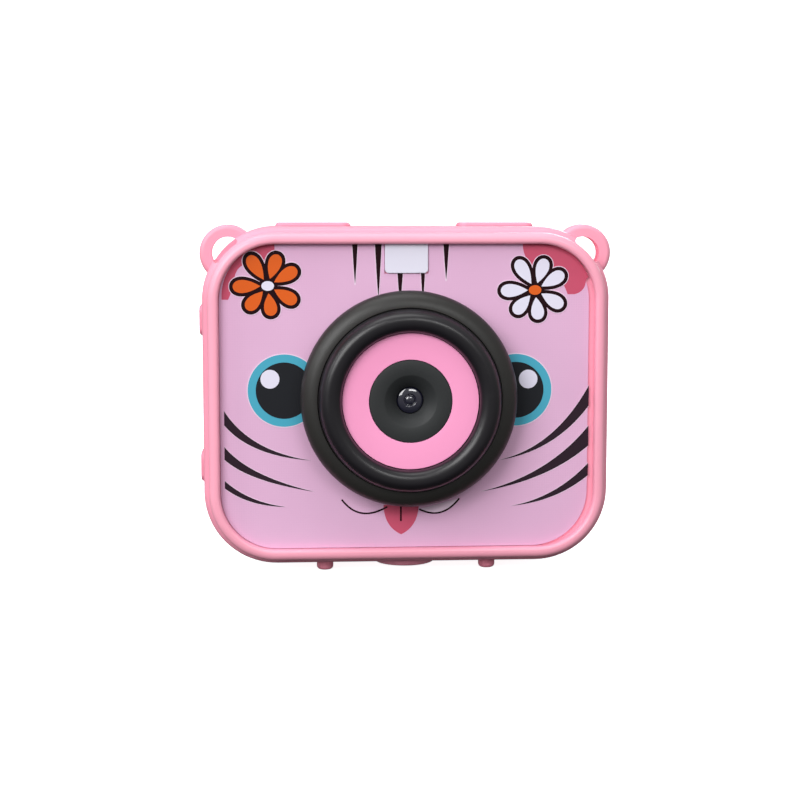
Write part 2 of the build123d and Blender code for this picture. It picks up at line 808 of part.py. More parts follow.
# ---- inside ----
def main_board():
    outline = RectangleRounded(board_width, board_height, 4)
    board = slab(outline, board_depth, board_depth + board_thickness)
    notch = Rectangle(2 * boss_radius + 2, 2 * board_notch_rise)
    board -= slab(notch, board_depth, board_depth + board_thickness, 0, -board_height / 2)
    return board


def board_chips():
    near = board_depth + board_thickness
    chips = [
        (12, 12, 1.4, -4, 2), (8, 6, 1.0, 9, 5), (5, 5, 0.9, -16, 10), (4, 4, 1.0, -17, 1),
        (3.2, 1.6, 0.8, 7, -7), (2, 1.2, 0.7, -12, -9), (2, 1.2, 0.7, -8, -9), (2, 1.2, 0.7, 2, -9),
        (6, 4, 1.6, 15, -5),
    ]
    return [slab(Rectangle(w, h), near, near + t, x, z) for w, h, t, x, z in chips]


def battery():
    near = board_depth - battery_pad_thickness - battery_thickness
    pack = slab(RectangleRounded(battery_width, battery_height, 2), near, near + battery_thickness)
    return fillet(pack.edges().filter_by(Axis.Z) + pack.edges().filter_by(Axis.X), 1.2)


def battery_pad():
    pad = Rectangle(battery_width - 6, battery_height - 6)
    return slab(pad, board_depth - battery_pad_thickness, board_depth)


def lcd_panel():
    near = frame_depth + frame_thickness - frame_lip - screen_thickness
    panel = slab(Rectangle(screen_width, screen_height), near, near + screen_thickness)
    view = Rectangle(screen_view_width - 1, screen_view_height - 1)
    glass = slab(view, near, near + screen_thickness + 0.2)
    return panel + glass


def lcd_ribbon():
    """Ribbon from the panel's lower edge to its socket on the main board."""
    near = frame_depth + frame_thickness - frame_lip - screen_thickness
    low = board_notch_top + ribbon_socket_rise
    strip = block((-6, 6), (near - 0.2, near), (low, -screen_height / 2 + 4))
    return strip + block((-7, 7), (board_depth + board_thickness, near), (low, low + 2.2))


def inner_frame():
    rear = frame_depth + frame_thickness
    frame = slab(seal_outline(rear_rim_width + 0.25), frame_depth, rear)
    pocket = Rectangle(screen_width + 2 * seat_gap, screen_height + 2 * seat_gap)
    frame -= slab(pocket, frame_depth, rear - frame_lip)
    view = RectangleRounded(screen_view_width, screen_view_height, 0.6)
    frame -= slab(view, frame_depth, rear)
    frame -= slab(RectangleRounded(6, 27, 1), frame_depth, rear, port_x, 0)
    for i in range(3):
        for j in range(5):
            frame -= rod(0.5, frame_depth, rear, speaker_x + (i - 1) * 2, (j - 2) * 2)
    frame -= rod(0.5, frame_depth, rear, port_x, microphone_height)
    for x, height in corners(frame_screw_x, frame_screw_height):
        frame -= rod(frame_screw_radius + 0.1, frame_depth, rear, x, height)
        frame -= rod(frame_screw_head + 0.15, rear - 1, rear, x, height)
    half = lever_half_height + latch_pad / 2 + 2 * running_gap
    pad_x = (body_width / 2 - wall - latch_pad - running_gap, body_width / 2)
    frame -= block(pad_x, (frame_depth, rear), (-half, half))
    for x, height in corners(post_x, post_height):
        frame += rod(1.6, board_depth + board_thickness, frame_depth + seat_gap, x, height)
    return frame


def usb_port():
    near = board_depth + board_thickness
    case = slab(RectangleRounded(3.3, 9.2, 1.2), near, near + 4.6, port_x, 7)
    case -= slab(RectangleRounded(2.5, 8.4, 0.9), near + 1, near + 4.6, port_x, 7)
    return case + slab(Rectangle(0.7, 6.6), near + 0.9, near + 4, port_x, 7)


def sd_socket():
    near = board_depth + board_thickness
    case = slab(Rectangle(3.0, 13), near, near + 4.4, port_x, -6)
    return case - slab(Rectangle(0.9, 11.2), near + 1, near + 4.4, port_x, -6)


def speaker():
    near = board_depth + board_thickness
    case = slab(RectangleRounded(7.6, 15.0, 2), near, frame_depth - 0.4, speaker_x, 0)
    return case + slab(RectangleRounded(6.4, 13.6, 1.6), near, frame_depth - 0.1, speaker_x, 0)


def microphone():
    near = board_depth + board_thickness
    can = slab(RectangleRounded(3.8, 3.0, 0.4), near, near + 1.1, port_x, microphone_height)
    return can - rod(0.3, near + 0.7, near + 1.1, port_x, microphone_height)


def screw(radius, head, head_height, seat, tip, x, height):
    """Pan-head screw driven towards the front, with a cross recess."""
    body = rod(radius, tip, seat, x, height) + rod(head, seat, seat + head_height, x, height)
    cross = Rectangle(head * 1.2, head * 0.28) + Rectangle(head * 0.28, head * 1.2)
    return body - slab(cross, seat + head_height * 0.45, seat + head_height, x, height)


def cover_screw(x, height):
    screw_tip = floor_front + screw_roof + screw_tip_gap
    return screw(screw_radius, screw_head_radius, screw_head_height, lug_rear, screw_tip, x, height)


def frame_screw(x, height):
    seat = frame_depth + frame_thickness - 1
    return screw(frame_screw_radius, frame_screw_head, 0.9, seat, frame_depth - 2, x, height)


def sensor_screw(x):
    seat = sensor_board_depth + 1
    return screw(frame_screw_radius, frame_screw_head, 0.9, seat, sensor_board_depth - 2.8, x, 0)


# ---- write every node ----
os.makedirs("parts", exist_ok=True)

pieces = {
    "front_cover": front_cover, "faceplate": faceplate, "flash_window": flash_window,
    "flash_led": flash_led, "front_gasket": front_gasket, "main_housing": main_housing,
    "tripod_insert": tripod_insert, "lens_bumper": lens_bumper, "lens_barrel": lens_barrel,
    "lens_trim_ring": lens_trim_ring, "lens_cone": lens_cone, "lens_window": lens_window,
    "lens_o_ring": lens_o_ring, "lens_retaining_nut": lens_retaining_nut, "lens_holder": lens_holder,
    "lens_elements": lens_elements, "image_sensor": image_sensor, "sensor_board": sensor_board,
    "lens_ribbon": lens_ribbon, "main_board": main_board, "battery": battery,
    "battery_pad": battery_pad, "lcd_panel": lcd_panel, "lcd_ribbon": lcd_ribbon,
    "inner_frame": inner_frame, "usb_port": usb_port, "sd_socket": sd_socket, "speaker": speaker,
    "microphone": microphone, "hinge_pin": hinge_pin, "rear_door": rear_door,
    "door_gasket": door_gasket, "screen_window": screen_window, "latch_pin": latch_pin,
    "latch_lever": latch_lever, "latch_spring": latch_spring,
}
for name, make in pieces.items():
    save(name, make())

save("feet", *[foot(x, depth) for x, depth in foot_places()])
save("board_chips", *board_chips())
save("cover_screws", *[cover_screw(x, z) for x, z in corners(cover_screw_x, cover_screw_height)])
save("frame_screws", *[frame_screw(x, z) for x, z in corners(frame_screw_x, frame_screw_height)])
save("sensor_screws", *[sensor_screw(x) for x in (-sensor_post_x, sensor_post_x)])

planes = button_planes()
save("button_o_rings", *[button_o_ring(plane) for plane, _, _ in planes.values()])
save("tact_switches", *[tact_switch(plane) for plane, _, _ in planes.values()])
for name, (plane, length, proud) in planes.items():
    save(name, button(plane, length, proud))
    save(name.replace("button", "spring"), return_spring(plane))
    save(name.replace("button", "clip"), retaining_clip(plane))
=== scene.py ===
import math

import bpy
import numpy as np
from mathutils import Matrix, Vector


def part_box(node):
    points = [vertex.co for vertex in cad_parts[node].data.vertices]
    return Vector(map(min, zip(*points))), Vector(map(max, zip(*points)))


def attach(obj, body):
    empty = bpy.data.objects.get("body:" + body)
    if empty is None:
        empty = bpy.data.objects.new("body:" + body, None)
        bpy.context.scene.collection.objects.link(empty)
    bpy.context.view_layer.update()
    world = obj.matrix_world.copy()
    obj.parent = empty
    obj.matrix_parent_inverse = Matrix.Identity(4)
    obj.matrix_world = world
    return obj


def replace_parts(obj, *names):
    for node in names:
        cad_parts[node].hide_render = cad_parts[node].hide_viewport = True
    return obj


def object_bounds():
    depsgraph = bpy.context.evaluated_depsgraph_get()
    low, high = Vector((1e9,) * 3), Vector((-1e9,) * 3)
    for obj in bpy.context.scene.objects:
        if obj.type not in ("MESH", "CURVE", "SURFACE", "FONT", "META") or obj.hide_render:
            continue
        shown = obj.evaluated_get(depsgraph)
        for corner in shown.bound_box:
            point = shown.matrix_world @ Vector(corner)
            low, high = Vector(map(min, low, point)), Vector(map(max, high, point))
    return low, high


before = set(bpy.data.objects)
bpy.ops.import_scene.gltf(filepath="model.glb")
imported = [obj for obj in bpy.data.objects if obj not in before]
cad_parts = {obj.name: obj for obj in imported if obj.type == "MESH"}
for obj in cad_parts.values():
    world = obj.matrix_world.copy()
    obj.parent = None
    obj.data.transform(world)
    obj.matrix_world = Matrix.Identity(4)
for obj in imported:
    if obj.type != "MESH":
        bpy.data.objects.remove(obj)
cad_low, cad_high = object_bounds()

MM = 0.001
scene = bpy.context.scene
scene.view_settings.view_transform = "Standard"

# ---- places, worked out from the frame ----
_, cover_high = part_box("front_cover")
plate_low, plate_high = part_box("faceplate")
bumper_low, bumper_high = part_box("lens_bumper")
barrel_low, barrel_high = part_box("lens_barrel")
FACE_Y = plate_low.y                                  # front of the printed panel
AXIS_X = (bumper_low.x + bumper_high.x) / 2
AXIS_Z = (bumper_low.z + bumper_high.z) / 2
MIDDLE = Vector((AXIS_X, (cad_low.y + cad_high.y) / 2, AXIS_Z))
PANEL_LEFT = (plate_low.x - AXIS_X) / MM
PANEL_RIGHT = (plate_high.x - AXIS_X) / MM
PANEL_TOP = (plate_high.z - AXIS_Z) / MM


# ---- mesh helpers ----
def srgb(red, green, blue):
    """Linear colour of three screen values from 0 to 255."""
    value = np.array([red, green, blue]) / 255
    linear = np.where(value <= 0.04045, value / 12.92, ((value + 0.055) / 1.055) ** 2.4)
    return (*[float(v) for v in linear], 1.0)


def add_piece(name, points, faces, material, body="root", smooth=True):
    """Mesh object from points in metres, riding on a body."""
    mesh = bpy.data.meshes.new(name)
    mesh.from_pydata(points.tolist(), [], faces.tolist())
    mesh.polygons.foreach_set("use_smooth", [smooth] * len(mesh.polygons))
    mesh.materials.append(material)
    mesh.update()
    piece = bpy.data.objects.new(name, mesh)
    scene.collection.objects.link(piece)
    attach(piece, body)
    return piece


def grid_faces(rows, columns, wrap_rows=False, wrap_columns=False):
    """Quads of a rows by columns grid of points, closed on either side where asked."""
    i = np.arange(rows if wrap_rows else rows - 1)
    j = np.arange(columns if wrap_columns else columns - 1)
    i, j = np.meshgrid(i, j, indexing="ij")
    next_i = (i + 1) % rows
    next_j = (j + 1) % columns
    corners = [i * columns + j, next_i * columns + j, next_i * columns + next_j, i * columns + next_j]
    return np.stack(corners, axis=-1).reshape(-1, 4)


def rounded_profile(corners, steps=8):
    """Closed outline from (radius, height, rounding) corners.

    Each corner becomes a quadratic curve that starts and ends its rounding away along the two sides:
    (1-t)^2 start + 2t(1-t) corner + t^2 end."""
    place = np.array([c[:2] for c in corners], float)
    size = np.array([c[2] for c in corners], float)
    out = []
    for k, (point, rounding) in enumerate(zip(place, size)):
        if rounding == 0:
            out.append(point[None])
            continue
        before = place[k - 1] - point
        after = place[(k + 1) % len(place)] - point
        start = point + before / np.linalg.norm(before) * rounding
        end = point + after / np.linalg.norm(after) * rounding
        t = np.linspace(0, 1, steps)[:, None]
        out.append((1 - t) ** 2 * start + 2 * t * (1 - t) * point + t**2 * end)
    return np.concatenate(out)


def turned(name, profile, material, segments=192):
    """Closed profile of radius and height ahead of the panel, carried round the lens axis:
    x = r cos(a), z = r sin(a), y = -height."""
    a = np.linspace(0, 2 * np.pi, segments, endpoint=False)[:, None]
    radius, height = profile[:, 0][None] * MM, profile[:, 1][None] * MM
    x = AXIS_X + radius * np.cos(a)
    z = AXIS_Z + radius * np.sin(a)
    y = FACE_Y - height + 0 * a
    points = np.stack([x, y, z], axis=-1).reshape(-1, 3)
    area = np.sum(profile[:, 0] * np.roll(profile[:, 1], -1) - np.roll(profile[:, 0], -1) * profile[:, 1])
    faces = grid_faces(segments, len(profile), True, True)
    if area < 0:
        faces = faces[:, ::-1]
    return add_piece(name, points, faces, material)


# ---- shared shader groups ----
def new_group(name, inputs, outputs):
    group = bpy.data.node_groups.new(name, "ShaderNodeTree")
    for label, kind, value in inputs:
        socket = group.interface.new_socket(label, in_out="INPUT", socket_type=kind)
        socket.default_value = value
    for label, kind in outputs:
        group.interface.new_socket(label, in_out="OUTPUT", socket_type=kind)
    return group, group.nodes.new("NodeGroupInput"), group.nodes.new("NodeGroupOutput")


def noise_node(nodes, detail=3.0, roughness=0.55):
    node = nodes.new("ShaderNodeTexNoise")
    node.inputs["Detail"].default_value = detail
    node.inputs["Roughness"].default_value = roughness
    return node


def make_surface_group():
    """Moulded surface: a fine grain, slow colour drift and a few faint scuffs."""
    group, source, out = new_group(
        "moulded surface",
        [("Colour", "NodeSocketColor", (0.5, 0.5, 0.5, 1)),
         ("Second Colour", "NodeSocketColor", (0.5, 0.5, 0.5, 1)),
         ("Grain Scale", "NodeSocketFloat", 3000.0), ("Roughness", "NodeSocketFloat", 0.4),
         ("Scuffs", "NodeSocketFloat", 0.1)],
        [("Colour", "NodeSocketColor"), ("Roughness", "NodeSocketFloat"), ("Height", "NodeSocketFloat")],
    )
    nodes, links = group.nodes, group.links
    place = nodes.new("ShaderNodeTexCoord")
    drift = noise_node(nodes)
    drift.inputs["Scale"].default_value = 45.0
    grain = noise_node(nodes, 2.0, 0.6)
    scuff = nodes.new("ShaderNodeTexNoise")
    scuff.inputs["Scale"].default_value = 260.0
    scuff.inputs["Detail"].default_value = 6.0
    scuff.inputs["Distortion"].default_value = 1.6
    for texture in (drift, grain, scuff):
        links.new(place.outputs["Object"], texture.inputs["Vector"])
    links.new(source.outputs["Grain Scale"], grain.inputs["Scale"])
    mix = nodes.new("ShaderNodeMix")
    mix.data_type = "RGBA"
    links.new(drift.outputs["Fac"], mix.inputs["Factor"])
    links.new(source.outputs["Colour"], mix.inputs["A"])
    links.new(source.outputs["Second Colour"], mix.inputs["B"])
    links.new(mix.outputs["Result"], out.inputs["Colour"])
    narrow = nodes.new("ShaderNodeMapRange")
    narrow.inputs["From Min"].default_value = 0.56
    narrow.inputs["From Max"].default_value = 0.7
    links.new(scuff.outputs["Fac"], narrow.inputs["Value"])
    amount = nodes.new("ShaderNodeMath")
    amount.operation = "MULTIPLY"
    links.new(narrow.outputs["Result"], amount.inputs[0])
    links.new(source.outputs["Scuffs"], amount.inputs[1])
    total = nodes.new("ShaderNodeMath")
    total.operation = "ADD"
    links.new(amount.outputs[0], total.inputs[0])
    links.new(source.outputs["Roughness"], total.inputs[1])
    links.new(total.outputs[0], out.inputs["Roughness"])
    links.new(grain.outputs["Fac"], out.inputs["Height"])
    return group


SURFACE = make_surface_group()


def moulded(name, colour, second=None, rough=0.4, grain=3000.0, bump=0.1, scuffs=0.1, **sockets):
    """Material on the moulded surface group; other sockets are set straight on the shader."""
    material = bpy.data.materials.new(name)
    material.use_nodes = True
    nodes, links = material.node_tree.nodes, material.node_tree.links
    shader = nodes["Principled BSDF"]
    surface = nodes.new("ShaderNodeGroup")
    surface.node_tree = SURFACE
    surface.inputs["Colour"].default_value = colour
    surface.inputs["Second Colour"].default_value = second or tuple(0.93 * c for c in colour[:3]) + (1,)
    surface.inputs["Grain Scale"].default_value = grain
    surface.inputs["Roughness"].default_value = rough
    surface.inputs["Scuffs"].default_value = scuffs
    links.new(surface.outputs["Colour"], shader.inputs["Base Color"])
    links.new(surface.outputs["Roughness"], shader.inputs["Roughness"])
    relief = nodes.new("ShaderNodeBump")
    relief.inputs["Strength"].default_value = bump
    relief.inputs["Distance"].default_value = 0.0001
    links.new(surface.outputs["Height"], relief.inputs["Height"])
    links.new(relief.outputs["Normal"], shader.inputs["Normal"])
    for socket, value in sockets.items():
        shader.inputs[socket.replace("_", " ")].default_value = value
    return material


# ---- materials ----
PINK = srgb(250, 166, 188)
PINK_DEEP = srgb(243, 152, 176)
INK = srgb(34, 8, 16)

case_pink = moulded("case pink", PINK, PINK_DEEP, 0.42, 4200, 0.12, Specular_IOR_Level=0.45)
bezel_pink = moulded("bezel pink", srgb(251, 170, 191), PINK, 0.3, 3200, 0.05, 0.05)
button_pink = moulded("button pink", PINK_DEEP, srgb(238, 143, 168), 0.5, 5200, 0.2)
# Feet: pink rubber drawn darker than the case's pink, as painted shade under the body.
shaded_foot_pink = moulded("foot rubber, painted shade", srgb(240, 145, 165), srgb(231, 132, 155), 0.6, 5200, 0.25)
lens_matte = moulded(
    "lens charcoal", srgb(40, 39, 37), srgb(34, 33, 32), 0.4, 5200, 0.1, 0.05, Specular_IOR_Level=0.4)
lens_gloss = moulded(
    "lens black gloss", srgb(24, 22, 26), srgb(20, 18, 23), 0.3, 2200, 0.02, 0.04, Specular_IOR_Level=0.45)
trim_pink = moulded(
    "lens trim pink", srgb(252, 164, 206), srgb(250, 158, 201), 0.55, 3000, 0.03, 0.03,
    Specular_IOR_Level=0.2)
cone_black = moulded(
    "lens cone black", srgb(44, 46, 47), srgb(40, 42, 43), 0.5, 5200, 0.08, 0.03, Specular_IOR_Level=0.3)
shadow_black = moulded("lens inner black", srgb(12, 12, 15), srgb(8, 8, 10), 0.35, 4000, 0.05, 0.02)
milky = moulded("flash diffuser", srgb(228, 226, 240), srgb(222, 219, 236), 0.35, 3000, 0.04, 0.03)
seal_grey = moulded("silicone seal", srgb(190, 190, 192), srgb(180, 180, 184), 0.55, 4000, 0.1)
steel = moulded("zinc-plated steel", srgb(190, 190, 192), srgb(170, 171, 176), 0.3, 3600, 0.08, Metallic=1.0)
brass = moulded("turned brass", srgb(214, 176, 98), srgb(198, 158, 80), 0.28, 3600, 0.08, Metallic=1.0)
mask_green = moulded("solder mask", srgb(20, 92, 50), srgb(15, 78, 42), 0.35, 2400, 0.1)
epoxy = moulded("chip epoxy", srgb(38, 38, 40), srgb(30, 30, 32), 0.5, 6000, 0.2)
white_satin = moulded("white frame", srgb(236, 232, 232), srgb(228, 223, 225), 0.45, 4200, 0.12)
screen_dark = moulded(
    "display glass", srgb(14, 15, 19), srgb(10, 11, 15), 0.12, 1500, 0.01, 0.05, Coat_Weight=0.6)
foil = moulded("battery foil", srgb(168, 172, 178), srgb(150, 154, 162), 0.35, 700, 0.4, Metallic=0.8)
foam = moulded("foam tape", srgb(40, 40, 42), srgb(30, 30, 32), 0.9, 1800, 0.6)
film = moulded("ribbon film", srgb(196, 120, 45), srgb(180, 104, 36), 0.35, 1600, 0.1)
plated = moulded("plated shell", srgb(196, 196, 198), srgb(180, 180, 184), 0.22, 2600, 0.05, Metallic=1.0)
black_satin = moulded("black plastic", srgb(34, 34, 36), srgb(26, 26, 28), 0.45, 4200, 0.15)
phosphor = moulded("lamp phosphor", srgb(246, 236, 170), srgb(240, 226, 150), 0.3, 2600, 0.1)


def printed_lilac():
    """Printed panel: fine woven paper texture over a slow mottle of two lilacs."""
    material = moulded("printed lilac", srgb(228, 184, 216), srgb(219, 171, 205), 0.46, 1900, 0.12, 0.05)
    nodes, links = material.node_tree.nodes, material.node_tree.links
    place = nodes.new("ShaderNodeTexCoord")
    surface = next(n for n in nodes if n.type == "GROUP")
    shader = nodes["Principled BSDF"]
    weave = None
    for direction in ("X", "Z"):
        threads = nodes.new("ShaderNodeTexWave")
        threads.bands_direction = direction
        threads.inputs["Scale"].default_value = 640.0
        threads.inputs["Distortion"].default_value = 1.2
        threads.inputs["Detail"].default_value = 2.0
        threads.inputs["Detail Scale"].default_value = 3.0
        links.new(place.outputs["Object"], threads.inputs["Vector"])
        if weave is None:
            weave = threads
            continue
        both = nodes.new("ShaderNodeMath")
        both.operation = "MULTIPLY"
        links.new(weave.outputs["Fac"], both.inputs[0])
        links.new(threads.outputs["Fac"], both.inputs[1])
        weave = both
    faint = nodes.new("ShaderNodeMapRange")
    faint.inputs["To Max"].default_value = 0.22
    links.new(weave.outputs[0], faint.inputs["Value"])
    mix = nodes.new("ShaderNodeMix")
    mix.data_type = "RGBA"
    mix.inputs["B"].default_value = srgb(203, 150, 190)
    links.new(faint.outputs["Result"], mix.inputs["Factor"])
    links.new(surface.outputs["Colour"], mix.inputs["A"])
    links.new(mix.outputs["Result"], shader.inputs["Base Color"])
    return material


def clear(name, tint, rough=0.03, ior=1.45):
    """Clear moulded pane with a faint haze that varies over it."""
    material = moulded(name, tint, tint, rough, 900, 0.01, 0.03)
    shader = material.node_tree.nodes["Principled BSDF"]
    shader.inputs["Transmission Weight"].default_value = 1.0
    shader.inputs["IOR"].default_value = ior
    return material


panel_lilac = printed_lilac()
window_clear = clear("clear window", srgb(244, 248, 250))

finishes = {
    case_pink: ["main_housing", "rear_door"],
    bezel_pink: ["front_cover"],
    button_pink: [
        "power_button", "shutter_button", "up_button", "down_button", "menu_button", "latch_lever",
    ],
    shaded_foot_pink: ["feet"],
    panel_lilac: ["faceplate"],
    milky: ["flash_window"],
    phosphor: ["flash_led"],
    brass: ["tripod_insert"],
    seal_grey: ["front_gasket", "door_gasket", "lens_o_ring", "button_o_rings"],
    black_satin: ["lens_retaining_nut", "lens_holder", "speaker", "tact_switches"],
    shadow_black: ["lens_elements"],
    epoxy: ["image_sensor", "board_chips"],
    mask_green: ["sensor_board", "main_board"],
    film: ["lens_ribbon", "lcd_ribbon"],
    foil: ["battery"],
    foam: ["battery_pad"],
    screen_dark: ["lcd_panel"],
    white_satin: ["inner_frame"],
    plated: ["usb_port", "sd_socket", "microphone"],
    window_clear: ["screen_window"],
    steel: [
        "hinge_pin", "latch_pin", "latch_spring", "cover_screws", "frame_screws", "sensor_screws",
        "power_spring", "shutter_spring", "up_spring", "down_spring", "menu_spring",
        "power_clip", "shutter_clip", "up_clip", "down_clip", "menu_clip",
    ],
}


def soft_shading_group():
    """Joins a node's triangles and shades it smooth, with edges sharper than 32 degrees kept."""
    group = bpy.data.node_groups.new("soft shading", "GeometryNodeTree")
    group.interface.new_socket("Geometry", in_out="INPUT", socket_type="NodeSocketGeometry")
    group.interface.new_socket("Geometry", in_out="OUTPUT", socket_type="NodeSocketGeometry")
    nodes, links = group.nodes, group.links
    source, out = nodes.new("NodeGroupInput"), nodes.new("NodeGroupOutput")
    merge = nodes.new("GeometryNodeMergeByDistance")
    merge.inputs["Distance"].default_value = 1e-6
    faces = nodes.new("GeometryNodeSetShadeSmooth")
    edges = nodes.new("GeometryNodeSetShadeSmooth")
    edges.domain = "EDGE"
    edges.inputs["Shade Smooth"].default_value = False
    angle = nodes.new("GeometryNodeInputMeshEdgeAngle")
    sharp = nodes.new("FunctionNodeCompare")
    sharp.inputs["B"].default_value = math.radians(32)
    links.new(source.outputs[0], merge.inputs["Geometry"])
    links.new(merge.outputs["Geometry"], faces.inputs["Geometry"])
    links.new(faces.outputs["Geometry"], edges.inputs["Geometry"])
    links.new(angle.outputs["Unsigned Angle"], sharp.inputs["A"])
    links.new(sharp.outputs["Result"], edges.inputs["Selection"])
    links.new(edges.outputs["Geometry"], out.inputs[0])
    return group


SOFT_SHADING = soft_shading_group()
for material, names in finishes.items():
    for name in names:
        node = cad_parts[name]
        for material_slot in node.material_slots:
            material_slot.material = material
        node.modifiers.new("soft shading", "NODES").node_group = SOFT_SHADING
        node.modifiers.new("even normals", "WEIGHTED_NORMAL").keep_sharp = True


# ---- lens, radii and heights ahead of the panel in millimetres ----
BUMPER_R = (bumper_high.x - bumper_low.x) / 2 / MM
BUMPER_H = (FACE_Y - bumper_low.y) / MM
BARREL_R = (barrel_high.x - barrel_low.x) / 2 / MM
CREST_H = (FACE_Y - barrel_low.y) / MM
ring_low, ring_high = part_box("lens_trim_ring")
RING_R = (ring_high.x - ring_low.x) / 2 / MM
RING_H = (FACE_Y - ring_low.y) / MM
CONE_EDGE_R = 8.42
CONE_MOUTH_R = 5.4
CONE_THROAT_R = 2.8
CONE_DEPTH = 2.2


def lens_bumper_ring():
    """Matte outer ring: a flank that swells to the widest radius, then a quarter roll inwards,
    h = shoulder + rise * sqrt(1 - u^2), where u runs from the flank, 1, to the barrel, 0."""
    inner = BARREL_R + 0.12
    t = np.linspace(0, np.pi / 2, 48)
    roll = np.stack([
        inner + (BUMPER_R - inner) * np.cos(t), 4.3 + (BUMPER_H - 4.3) * np.sin(t),
    ], axis=-1)
    s = np.linspace(0, 1, 24)[:-1]
    flank = np.stack([BUMPER_R - 0.8 * (1 - s) ** 2, 4.3 * s], axis=-1)
    back = np.array([(inner, BUMPER_H - 0.4), (BARREL_R + 0.02, BUMPER_H - 0.5), (BARREL_R, 0)])
    profile = np.concatenate([flank, roll, back])
    return turned("lens_bumper_ring", profile, lens_matte)


def lens_barrel_ring():
    """Glossy ring: a broad roll, h = foot + rise * (1 - |u|^2.3)^(1/2.3), where u runs from the
    outer wall, -1, over the crest, 0, to the seat of the trim ring, 1."""
    crest_r = 16.3
    u = -np.cos(np.linspace(0, np.pi, 72))
    outer, inner = BARREL_R - crest_r, crest_r - RING_R - 0.12
    foot = np.where(u < 0, BUMPER_H - 0.35, RING_H + 0.1)
    lift = (1 - np.abs(u) ** 2.3).clip(0) ** (1 / 2.3)
    radius = crest_r - u * np.where(u < 0, outer, inner)
    roll = np.stack([radius, foot + (CREST_H - foot) * lift], axis=-1)
    back = np.array([(9.0, -4.4), (11.9, -4.4), (11.9, -0.5), (BARREL_R, -0.5)])
    seat = np.array([(RING_R + 0.1, 7.5), (RING_R, 7.4), (9.0, 7.4)])
    return turned("lens_barrel_ring", np.concatenate([back, roll, seat]), lens_gloss)


def trim_disc():
    """Flat ring with its front edges rounded off."""
    profile = rounded_profile([
        (8.5, 7.45, 0), (RING_R, 7.45, 0), (RING_R, RING_H, 0.14), (8.5, RING_H, 0.1),
    ])
    return turned("lens_trim_disc", profile, trim_pink)


def cone_dish():
    """Flat disc that falls into a dished throat, h = disc - depth * s^1.25 * (1 - 0.12 sin(pi s)),
    where s runs from the mouth, 0, to the throat, 1."""
    disc = RING_H - 0.1
    s = np.linspace(0, 1, 40)
    radius = CONE_MOUTH_R + (CONE_THROAT_R - CONE_MOUTH_R) * s
    height = disc - CONE_DEPTH * s**1.25 * (1 - 0.12 * np.sin(np.pi * s))
    dish = np.stack([radius, height], axis=-1)
    back = np.array([(CONE_THROAT_R, 4.75), (8.9, 4.75), (8.9, 7.3), (CONE_EDGE_R, 7.35)])
    edge = np.array([
        (CONE_EDGE_R, disc - 0.12), (CONE_EDGE_R - 0.04, disc - 0.03), (CONE_EDGE_R - 0.13, disc),
    ])
    return turned("lens_cone_dish", np.concatenate([dish, back, edge]), cone_black)


def glass_dome():
    """Front element: a low dome, h = edge + rise * sqrt(1 - (r / R)^2), with a smaller and
    steeper dome of the same form set in a groove at its middle, closed by a flat back."""
    edge_r = CONE_THROAT_R - 0.06
    base = RING_H - 0.1 - CONE_DEPTH - 0.62
    start = math.asin(1.32 / edge_r)
    t = np.linspace(start, np.pi / 2, 24)
    dome = np.stack([edge_r * np.sin(t), base + 0.62 * np.cos(t)], axis=-1)
    t = np.linspace(0, np.pi / 2, 16)
    pupil = np.stack([1.0 * np.sin(t) + 1e-4, base + 0.22 + 0.42 * np.cos(t)], axis=-1)
    groove = np.array([(1.06, base + 0.2), (1.16, base + 0.2), (1.22, base + 0.42)])
    back = np.array([(edge_r, base - 0.5), (1e-4, base - 0.5)])
    profile = np.concatenate([pupil, groove, dome, back])
    return turned("lens_front_glass", profile, lens_coated, 96)


def coated_glass():
    """Dark coated front element: navy that deepens to violet by a slow mottle, with a clear coat."""
    material = moulded("coated glass", srgb(16, 20, 34), srgb(30, 26, 48), 0.04, 700, 0.01, 0.02)
    shader = material.node_tree.nodes["Principled BSDF"]
    shader.inputs["Coat Weight"].default_value = 1.0
    shader.inputs["Specular IOR Level"].default_value = 0.8
    return material


lens_coated = coated_glass()
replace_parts(lens_bumper_ring(), "lens_bumper")
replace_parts(lens_barrel_ring(), "lens_barrel")
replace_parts(trim_disc(), "lens_trim_ring")
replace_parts(cone_dish(), "lens_cone")
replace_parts(glass_dome(), "lens_window")


# ---- printed art, x and z from the lens axis in millimetres ----
PANEL_W = (PANEL_RIGHT - PANEL_LEFT) / 2
PANEL_H = (plate_high.z - plate_low.z) / 2 / MM
PANEL_CORNER = 10.6
INK_STEP = 0.012
INK_SUNK = 0.02
INK_MERGE = 0.0001
TEAL = srgb(75, 170, 195)
HALO = srgb(237, 209, 231)


def panel_edge():
    """Outline of the panel: a rounded rectangle, four quarter circles joined anticlockwise."""
    t = np.linspace(0, np.pi / 2, 24)
    quarter = PANEL_CORNER * np.stack([np.cos(t), np.sin(t)], axis=-1)
    centre = np.array([PANEL_W - PANEL_CORNER, PANEL_H - PANEL_CORNER])
    arcs = []
    for k, (sx, sz) in enumerate([(1, 1), (-1, 1), (-1, -1), (1, -1)]):
        c, d = math.cos(k * math.pi / 2), math.sin(k * math.pi / 2)
        arcs.append(quarter @ np.array([[c, d], [-d, c]]) + centre * [sx, sz])
    return np.concatenate(arcs)


